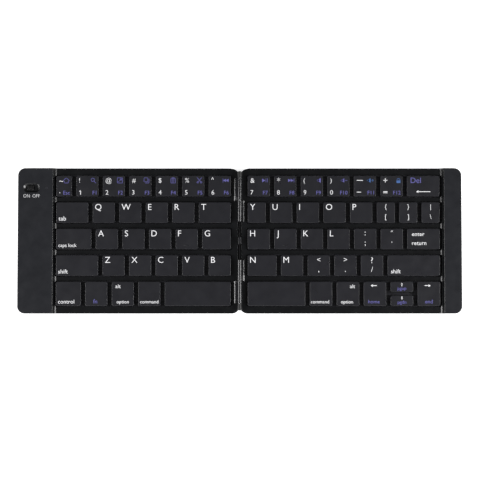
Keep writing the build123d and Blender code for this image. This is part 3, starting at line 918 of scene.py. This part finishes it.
def shallow_ends(bm, left_slope, right_slope):
    """Lays back the upper part of the end walls of the switch's recess, which then catch the side lamps."""
    low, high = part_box("power_switch_knob")
    reach = 4 * MM                  # the end walls lie within this of the knob
    slanting = 0.6                  # least part of their normals along the recess, and upwards
    for face in bm.faces[:]:
        middle, (near, far) = face.calc_center_median(), extent(face.verts)
        if not (low.x - reach < middle.x < high.x + reach and low.y < middle.y < high.y):
            continue
        if min(abs(face.normal.x), face.normal.z) < slanting:
            continue
        inner, slope = (far.x, left_slope) if face.normal.x > 0 else (near.x, right_slope)
        height = far.z - (far.x - near.x) * math.tan(slope)
        cut = bmesh.ops.bisect_plane(
            bm, geom=[face, *face.edges, *face.verts], dist=WELD, plane_co=(0, 0, height),
            plane_no=(0, 0, 1),
        )
        for vertex in only_points(cut["geom_cut"]):
            vertex.co.x = inner


class KEYBOARD_OT_cases(Operator):
    """Makes the top cases and bottom covers with softened edges"""

    bl_idname = "keyboard.cases"
    bl_label = "Cases"

    def execute(self, context):
        look = context.scene.keyboard_case
        plastic, smooth = case_plastic(), deck_plastic()
        # Edges of the deck lie above the first height, edges of the strips above the second and the cover's
        # outer ones below the third. Edges of the cover that are shorter than the last stay sharp.
        deck_level, strip_level = deck - 0.1 * MM, strip_top - 0.4 * MM
        cover_level, shortest = cover_base + 0.65 * MM, 0.45 * MM
        for side in SIDES:
            half = f"{side}_half"
            top = merged_copy(f"{side}_top_case")
            inner = [
                edge for edge in sharp_edges(top, deck_level)
                if max(abs(v.co.x) for v in edge.verts) < look.hinge_side
            ]
            soften(top, inner, look.inner_edge)
            if side == "left":
                shallow_ends(top, look.recess_left, look.recess_right)
            soften(top, sharp_edges(top, strip_level, 25), look.edge)
            ribs = [
                edge for edge in sharp_edges(top, deck_level, 40)
                if max(v.co.z for v in edge.verts) < strip_level
                and min(abs(v.co.x) for v in edge.verts) > look.hinge_side
            ]
            soften(top, ribs, look.rib_edge)
            # Faces lower than the strips' tops (deck, ribs, coves and recesses) take the deck material,
            # whose darker colour is painted shade.
            for face in top.faces:
                face.material_index = int(min(v.co.z for v in face.verts) < strip_top - LEVEL)
            add_piece(f"{side}_deck", top, [plastic, smooth], half, [f"{side}_top_case"])
            cover = merged_copy(f"{side}_bottom_cover")
            outside = [
                edge for edge in sharp_edges(cover)
                if max(v.co.z for v in edge.verts) < cover_level and edge.calc_length() > shortest
            ]
            soften(cover, outside, look.edge / 2, 2)
            add_piece(f"{side}_tray", cover, [plastic], half, [f"{side}_bottom_cover"])
        return {"FINISHED"}


# --- hinge ---
class HingeSettings(PropertyGroup):
    colour: FloatVectorProperty(
        name="Colour", description="Colour of the painted hinge", subtype="COLOR",
        default=linear("#222224"), min=0, max=1,
    )
    roughness: FloatProperty(
        name="Roughness", description="How dull the paint is", subtype="FACTOR", default=0.17, min=0,
        max=1,
    )
    cap_colour: FloatVectorProperty(
        name="End cap colour", description="Colour of the caps at the ends of the barrel",
        subtype="COLOR", default=linear("#111112"), min=0, max=1,
    )
    edge: FloatProperty(
        name="Edge", description="Radius of the edges of the knuckles", unit="LENGTH", default=0.12 * MM
    )
    ribbon_bend: FloatProperty(
        name="Ribbon bend", description="Where the ribbon starts to bend, from the axis", unit="LENGTH",
        default=0.9 * MM,
    )
    ribbon_cuts: IntProperty(
        name="Ribbon cuts", description="Cuts across the ribbon on either side of the axis", default=6
    )


class KEYBOARD_OT_hinge(Operator):
    """Makes the hinge: its leaves, end caps, pins and ribbon"""

    bl_idname = "keyboard.hinge"
    bl_label = "Hinge"

    def execute(self, context):
        look = context.scene.keyboard_hinge
        coat = painted_zinc()
        for side in SIDES:
            leaf, half = f"{side}_hinge_leaf", f"{side}_half"
            knuckles = merged_copy(leaf)
            soften(knuckles, sharp_edges(knuckles, deck), look.edge)
            add_piece(f"{side}_knuckles", knuckles, [coat], half, [leaf], 35)
        heads = merged_copy("hinge_end_caps")
        soften(heads, sharp_edges(heads, deck, 40), look.edge)
        # Glass-filled nylon, moulded: duller than the painted zinc beside it.
        dull = moulded_plastic("Moulded black nylon", look.cap_colour, 0.5, 0.3, 0.003, 1.53)
        add_piece("barrel_heads", heads, [dull], "left_half", ["hinge_end_caps"], 35)
        # The pins are ground steel wire, with fine lines along them.
        paint("hinge_pins", metal("Drawn steel wire", linear("#a9abad"), 0.3, stretch=(1, 0.05, 1)))

        ribbon = merged_copy("hinge_ribbon")
        for step in range(-look.ribbon_cuts, look.ribbon_cuts + 1):
            bmesh.ops.bisect_plane(
                ribbon, geom=ribbon.verts[:] + ribbon.edges[:] + ribbon.faces[:], dist=WELD,
                plane_co=(step * look.ribbon_bend / look.ribbon_cuts, 0, 0), plane_no=(1, 0, 0),
            )
        # Etched copper tracks under black polyimide film, along the ribbon.
        film = printed_film("Black polyimide film", linear("#101013"), linear("#19191d"), 0.5)
        piece = add_piece("ribbon", ribbon, [film], None, ["hinge_ribbon"])
        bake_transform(piece)
        return {"FINISHED"}


# --- power switch and status light ---
class KEYBOARD_OT_switch(Operator):
    """Makes the knob of the power switch, its two words and the window of the status light"""

    bl_idname = "keyboard.switch"
    bl_label = "Power switch"

    def execute(self, context):
        look = context.scene.keyboard_case
        inks = context.scene.keyboard_print
        knob_side, lens_side, edge = strip_top - 1.0 * MM, strip_top - 0.1 * MM, 0.08 * MM
        # The knob and the switch's body are moulded in black ABS from a polished mould.
        abs_black = moulded_plastic("Moulded black ABS", linear("#0c0c0d"), 0.35, 0.3, 0.002)
        knob = merged_copy("power_switch_knob")
        soften(knob, sharp_edges(knob, knob_side), edge, 2)
        add_piece("switch_knob", knob, [abs_black], "power_switch", ["power_switch_knob"])
        paint("power_switch_body", abs_black)

        words = bmesh.new()
        for word, middle in (("ON", look.on_place), ("OFF", look.off_place)):
            ink = printed_word(word, look.word_height, inks.thickness, look.word_width, look.word_spread)
            near, far = extent(ink.verts)
            bmesh.ops.translate(
                ink, vec=(middle[0] - (near.x + far.x) / 2, middle[1], strip_top - inks.thickness / 3),
                verts=ink.verts,
            )
            absorb(words, ink)
        add_piece("switch_words", words, [printed_ink("white")], "left_half", ())

        lens = merged_copy("status_lens")
        soften(lens, sharp_edges(lens, lens_side), edge, 2)
        add_piece("status_window", lens, [smoked_lens()], "left_half", ["status_lens"])
        return {"FINISHED"}


# --- inner pieces ---
class KEYBOARD_OT_inner(Operator):
    """Finishes the backplates, membranes, electronics and magnets"""

    bl_idname = "keyboard.inner"
    bl_label = "Inner pieces"

    def execute(self, context):
        # Pressed steel sheet with a black coat, so its gloss is that of the coat.
        plate = moulded_plastic("Black coated steel sheet", linear("#1c1c1e"), 0.35, 0.2, 0.002)
        # Silver tracks are screen-printed on polyester film under a black overprint.
        film = printed_film("Printed polyester film", linear("#1b1b1e"), linear("#2e2e33"), 2)
        # Sintered magnets under barrelled nickel plating.
        nickel = metal("Nickel plating", linear("#c3c4c6"), 0.2)
        for side in SIDES:
            paint(f"{side}_backplate", plate)
            paint(f"{side}_membrane", film)
            paint(f"{side}_magnets", nickel)
        # The battery is a pouch of aluminium-laminated foil, heat-sealed round its edge.
        paint("battery", metal("Aluminium pouch foil", linear("#b9babb"), 0.35, line=3))
        # Glass-epoxy board under green solder mask, which shows a slight weave.
        green = linear("#1d4a2e")
        board = moulded_plastic("Green solder mask on glass epoxy", green, 0.3, 0.4, 0.004)
        paint("main_board", board)
        return {"FINISHED"}


# --- charging socket ---
class SocketSettings(PropertyGroup):
    wall: FloatProperty(
        name="Wall", description="Thickness of the shell", unit="LENGTH", default=0.3 * MM
    )
    corner: FloatProperty(
        name="Corner", description="Size of the cut at the two lower corners", unit="LENGTH",
        default=0.7 * MM,
    )
    depth: FloatProperty(
        name="Depth", description="Depth of the mouth", unit="LENGTH", default=3.4 * MM
    )
    tongue_width: FloatProperty(
        name="Tongue width", description="Width of the contact tongue", unit="LENGTH", default=3.6 * MM
    )
    tongue_thickness: FloatProperty(
        name="Tongue thickness", description="Thickness of the contact tongue", unit="LENGTH",
        default=0.6 * MM,
    )
    tongue_inset: FloatProperty(
        name="Tongue inset", description="Tip of the tongue behind the mouth", unit="LENGTH",
        default=0.5 * MM,
    )


class KEYBOARD_OT_socket(Operator):
    """Makes the charging socket with its mouth and contact tongue"""

    bl_idname = "keyboard.socket"
    bl_label = "Charging socket"

    def execute(self, context):
        size = context.scene.keyboard_socket
        low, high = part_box("charging_socket")
        shell = add_block(low, high)
        lower = [
            edge for edge in shell.edges
            if all(v.co.z < low.z + size.wall for v in edge.verts) and edge.calc_length() > size.depth
            and abs(edge.verts[0].co.y - edge.verts[1].co.y) < size.wall
        ]
        soften(shell, lower, size.corner, 1)
        mouth = min(shell.faces, key=lambda face: face.calc_center_median().x)
        bmesh.ops.inset_region(shell, faces=[mouth], thickness=size.wall, use_even_offset=True)
        press(shell, [mouth], (size.depth, 0, 0))
        bmesh.ops.recalc_face_normals(shell, faces=shell.faces)
        middle = (low + high) / 2
        half = Vector((0, size.tongue_width / 2, size.tongue_thickness / 2))
        tip = Vector((low.x + size.tongue_inset, middle.y, middle.z))
        root = Vector((low.x + size.depth + size.wall, middle.y, middle.z))
        absorb(shell, add_block(tip - half, root + half), 1)
        # The shell is deep-drawn from stainless steel strip, and the tongue is moulded in black polymer.
        steel = metal("Drawn stainless steel", linear("#77787a"), 0.35, stretch=(0.1, 1, 1))
        polymer = moulded_plastic("Moulded black polymer", linear("#141415"), 0.4, 0.2, 0.001)
        add_piece("socket_shell", shell, [steel, polymer], "left_half", ["charging_socket"])
        return {"FINISHED"}


# --- feet and screws ---
class FootSettings(PropertyGroup):
    edge: FloatProperty(
        name="Edge", description="Radius of the edge of a foot", unit="LENGTH", default=0.2 * MM
    )
    head_edge: FloatProperty(
        name="Head edge", description="Radius of the edge of a screw's head", unit="LENGTH",
        default=0.1 * MM,
    )
    shank: FloatProperty(
        name="Shank", description="Radius of a screw's shank", unit="LENGTH", default=0.7 * MM
    )
    recess: FloatProperty(
        name="Recess", description="Depth of the cross in a screw's head", unit="LENGTH",
        default=0.45 * MM,
    )
    recess_width: FloatProperty(
        name="Recess width", description="Width of the arms of the cross", unit="LENGTH",
        default=0.38 * MM,
    )
    recess_reach: FloatProperty(
        name="Recess reach", description="Length of an arm of the cross, in widths", default=2.1
    )


def round_bar(centre, low, high, radius, segments):
    """An upright round bar between two heights, in a mesh of its own."""
    bm = bmesh.new()
    bmesh.ops.create_cone(
        bm, cap_ends=True, segments=segments, radius1=radius, radius2=radius, depth=high - low
    )
    bmesh.ops.translate(bm, vec=(centre.x, centre.y, (low + high) / 2), verts=bm.verts)
    return bm


def cross_recess(head, centre, low, look):
    """Presses a cross into the underside of a screw's head, where the driver goes."""
    half, reach = look.recess_width / 2, look.recess_width * look.recess_reach
    for offset in (-half, half, -reach, reach):
        for normal in (Vector((1, 0, 0)), Vector((0, 1, 0))):
            bmesh.ops.bisect_plane(
                head, geom=head.verts[:] + head.edges[:] + head.faces[:], dist=WELD / 10,
                plane_co=centre + offset * normal, plane_no=normal,
            )
    cross = []
    for face in head.faces:
        middle = face.calc_center_median()
        nearer, farther = sorted((abs(middle.x - centre.x), abs(middle.y - centre.y)))
        if nearer < half and farther < reach and abs(middle.z - low) < LEVEL and face.normal.z < -0.9:
            cross.append(face)
    press(head, cross, (0, 0, look.recess))


class KEYBOARD_OT_underside(Operator):
    """Makes the rubber feet and the screws of the underside"""

    bl_idname = "keyboard.underside"
    bl_label = "Feet and screws"

    def execute(self, context):
        look = context.scene.keyboard_feet
        # Compression-moulded rubber: dull, with a coarser grain than the case.
        rubber = moulded_plastic("Moulded black rubber", linear("#202022"), 0.75, 0.3, 0.01)
        # Cold-headed steel screws under black oxide.
        steel = metal("Black oxide on steel", linear("#3a3a3c"), 0.4)
        overlap = 0.1 * MM          # the shank starts that far inside the head
        for side in SIDES:
            half = f"{side}_half"
            feet = bmesh.new()
            for low, high in solid_boxes(f"{side}_feet"):
                foot = round_bar((low + high) / 2, low.z, high.z, (high.x - low.x) / 2, 48)
                soften(foot, lower_rim(foot, low.z), look.edge)
                absorb(feet, foot)
            add_piece(f"{side}_rubber_feet", feet, [rubber], half, [f"{side}_feet"])

            studs, screws = merged_copy(f"{side}_screws"), bmesh.new()
            for solid in solids(studs):
                low, high = extent(solid)
                centre = (low + high) / 2
                head_top = sorted(v.co.z for v in solid)[len(solid) // 2]
                head = round_bar(centre, low.z, head_top, (high.x - low.x) / 2, 28)
                soften(head, lower_rim(head, low.z), look.head_edge, 2)
                cross_recess(head, centre, low.z, look)
                absorb(screws, head)
                absorb(screws, round_bar(centre, head_top - overlap, high.z, look.shank, 16))
            studs.free()
            add_piece(f"{side}_cross_screws", screws, [steel], half, [f"{side}_screws"])
        return {"FINISHED"}


# --- stage ---
FLOOR = 4.0                         # half the width of the floor, in metres
SIDE_LAMP = (0.7, 0.6)              # a side lamp's place: out from the middle and up
SIDE_LAMP_SIZE = (0.7, 0.28)
FRONT_LAMP = (0, -1.0, 0.6)
FRONT_LAMP_SIZE = (1.0, 0.4)
SENSOR = 36.0                       # width of the camera's sensor, in millimetres
CRACK_END = 3 * MM                  # the dark crack ends that far before the back edge


class StageSettings(PropertyGroup):
    distance: FloatProperty(
        name="Distance", description="Camera to the keyboard", unit="LENGTH", default=1000 * MM
    )
    elevation: FloatProperty(
        name="Elevation", description="Angle of the camera above the horizon", subtype="ANGLE",
        default=math.radians(87),
    )
    framed: FloatProperty(
        name="Framed width", description="Width that the picture takes in at the keyboard", unit="LENGTH",
        default=314.9 * MM,
    )
    aim: FloatVectorProperty(
        name="Aim", description="Point at the middle of the picture", size=3, unit="LENGTH",
        default=(0.2 * MM, 0.5 * MM, 7 * MM),
    )
    left_light: FloatProperty(
        name="Left light", description="Power of the soft light on the left", unit="POWER", default=7.8
    )
    right_light: FloatProperty(
        name="Right light", description="Power of the soft light on the right", unit="POWER", default=8.6
    )
    side_lights_forward: FloatProperty(
        name="Side lights forward", description="How far the side lights stand in front of the middle",
        unit="LENGTH", default=240 * MM,
    )
    front_light: FloatProperty(
        name="Front light", description="Power of the soft light in front", unit="POWER", default=3.5
    )
    surround: FloatProperty(
        name="Surround", description="Brightness of the plain surround", default=0.1
    )
    glow: FloatProperty(
        name="Glow", description="Light that the white floor adds of itself in the picture", default=0.8
    )
    dark_crack: FloatProperty(
        name="Dark crack", description="Half the width of floor under the hinge that adds no light",
        unit="LENGTH", default=0.5 * MM,
    )


def white_paper(stage):
    """Rolled white background paper; in the picture it adds light of its own, save under the crack."""
    material = bpy.data.materials.new("Matt white paper")
    tree = empty_tree(material)
    rays = add_node(tree, "LightPath").outputs
    seen = rays["Is Camera Ray"]
    for kind in ("Is Glossy Ray", "Is Transmission Ray"):
        inputs = {0: seen, 1: rays[kind]}
        seen = add_node(tree, "Math", inputs, operation="ADD", use_clamp=True).outputs[0]
    where = add_node(tree, "TexCoord").outputs["Object"]
    where = add_node(tree, "VectorMath", {0: where}, operation="ABSOLUTE").outputs[0]
    where = add_node(tree, "SeparateXYZ", {"Vector": where}).outputs
    beside, behind = (
        add_node(tree, "Math", {0: where[axis], 1: limit}, operation="GREATER_THAN").outputs[0]
        for axis, limit in (("X", stage.dark_crack), ("Y", cad_box[1].y - CRACK_END))
    )
    lift = beside
    for operation, other in (("MAXIMUM", behind), ("MULTIPLY", seen), ("MULTIPLY", stage.glow)):
        lift = add_node(tree, "Math", {0: lift, 1: other}, operation=operation).outputs[0]
    paper = add_node(tree, "BsdfDiffuse", {"Color": (0.8, 0.8, 0.8, 1)})
    glow = add_node(tree, "Emission", {"Color": (1, 1, 1, 1), "Strength": lift})
    both = add_node(tree, "AddShader", {0: paper.outputs[0], 1: glow.outputs[0]})
    add_node(tree, "OutputMaterial", {"Surface": both.outputs[0]})
    return material


def plain_surround(stage):
    """An even surround, white where the camera sees it and dimmer as light on the keyboard."""
    world = bpy.data.worlds.new("Plain surround")
    tree = empty_tree(world)
    seen = add_node(tree, "LightPath").outputs["Is Camera Ray"]
    inputs = {"Value": seen, "To Min": stage.surround, "To Max": 1.0}
    strength = add_node(tree, "MapRange", inputs).outputs["Result"]
    sky = add_node(tree, "Background", {"Color": (1, 1, 1, 1), "Strength": strength})
    add_node(tree, "OutputWorld", {"Surface": sky.outputs["Background"]})
    return world


def soft_lamp(name, place, aim, sides, power):
    """A large soft lamp that faces a point."""
    lamp = bpy.data.lights.new(name, "AREA")
    lamp.shape = "RECTANGLE"
    (lamp.size, lamp.size_y), lamp.energy = sides, power
    holder = show(name, lamp)
    holder.location = place
    holder.rotation_euler = (Vector(aim) - Vector(place)).to_track_quat("-Z", "Y").to_euler()


def aimed_camera(stage):
    """The camera, at its distance and angle from the point that it looks at."""
    camera = bpy.data.cameras.new("camera")
    camera.sensor_width = SENSOR
    camera.lens = SENSOR * stage.distance / stage.framed
    camera.clip_start, camera.clip_end = 0.05, 20
    holder = show("camera", camera)
    back = Vector((0, -math.cos(stage.elevation), math.sin(stage.elevation)))
    holder.location = Vector(stage.aim) + back * stage.distance
    holder.rotation_euler = (-back).to_track_quat("-Z", "Y").to_euler()
    return holder


class KEYBOARD_OT_stage(Operator):
    """Sets the white floor, the soft lamps and the camera"""

    bl_idname = "keyboard.stage"
    bl_label = "Stage"

    def execute(self, context):
        scene = context.scene
        stage = scene.keyboard_stage
        scene.view_settings.view_transform = "Standard"
        bm = bmesh.new()
        bmesh.ops.create_grid(bm, x_segments=1, y_segments=1, size=FLOOR)
        floor = show("floor", as_mesh("floor", bm))
        floor.data.materials.append(white_paper(stage))
        scene.world = plain_surround(stage)
        forward = stage.side_lights_forward
        out, up = SIDE_LAMP
        lamps = (("left_lamp", -1, stage.left_light), ("right_lamp", 1, stage.right_light))
        for name, side, power in lamps:
            soft_lamp(name, (out * side, -forward, up), (0, -forward, 0), SIDE_LAMP_SIZE, power)
        soft_lamp("front_lamp", FRONT_LAMP, stage.aim, FRONT_LAMP_SIZE, stage.front_light)
        scene.camera = aimed_camera(stage)
        return {"FINISHED"}


class KEYBOARD_PT_panel(Panel):
    """Lists the pieces of the keyboard and their sizes"""

    bl_label = "Folding Keyboard"
    bl_idname = "KEYBOARD_PT_panel"
    bl_space_type = "VIEW_3D"
    bl_region_type = "UI"
    bl_category = "Keyboard"

    def draw(self, context):
        for operator, settings in STEPS:
            box = self.layout.box()
            box.operator(operator.bl_idname)
            for name in settings:
                group = getattr(context.scene, name)
                for field in group.__annotations__:
                    box.prop(group, field)


# Each operator in the order that it runs, with the settings that the panel shows under it.
STEPS = (
    (KEYBOARD_OT_stage, ("keyboard_stage",)),
    (KEYBOARD_OT_cases, ("keyboard_case",)),
    (KEYBOARD_OT_keycaps, ("keyboard_keys", "keyboard_print")),
    (KEYBOARD_OT_supports, ("keyboard_supports",)),
    (KEYBOARD_OT_hinge, ("keyboard_hinge",)),
    (KEYBOARD_OT_switch, ()),
    (KEYBOARD_OT_inner, ()),
    (KEYBOARD_OT_socket, ("keyboard_socket",)),
    (KEYBOARD_OT_underside, ("keyboard_feet",)),
)
SETTINGS = {
    "keyboard_case": CaseSettings,
    "keyboard_keys": KeycapSettings,
    "keyboard_print": PrintSettings,
    "keyboard_supports": SupportSettings,
    "keyboard_hinge": HingeSettings,
    "keyboard_socket": SocketSettings,
    "keyboard_feet": FootSettings,
    "keyboard_stage": StageSettings,
}


def register():
    for name, group in SETTINGS.items():
        bpy.utils.register_class(group)
        setattr(bpy.types.Scene, name, PointerProperty(type=group))
    for operator, _ in STEPS:
        bpy.utils.register_class(operator)
    bpy.utils.register_class(KEYBOARD_PT_panel)


def unregister():
    bpy.utils.unregister_class(KEYBOARD_PT_panel)
    for operator, _ in STEPS:
        bpy.utils.unregister_class(operator)
    for name, group in SETTINGS.items():
        delattr(bpy.types.Scene, name)
        bpy.utils.unregister_class(group)


def main():
    register()
    for operator, _ in STEPS:
        group, name = operator.bl_idname.split(".")
        getattr(getattr(bpy.ops, group), name)()


if __name__ == "__main__":
    main()
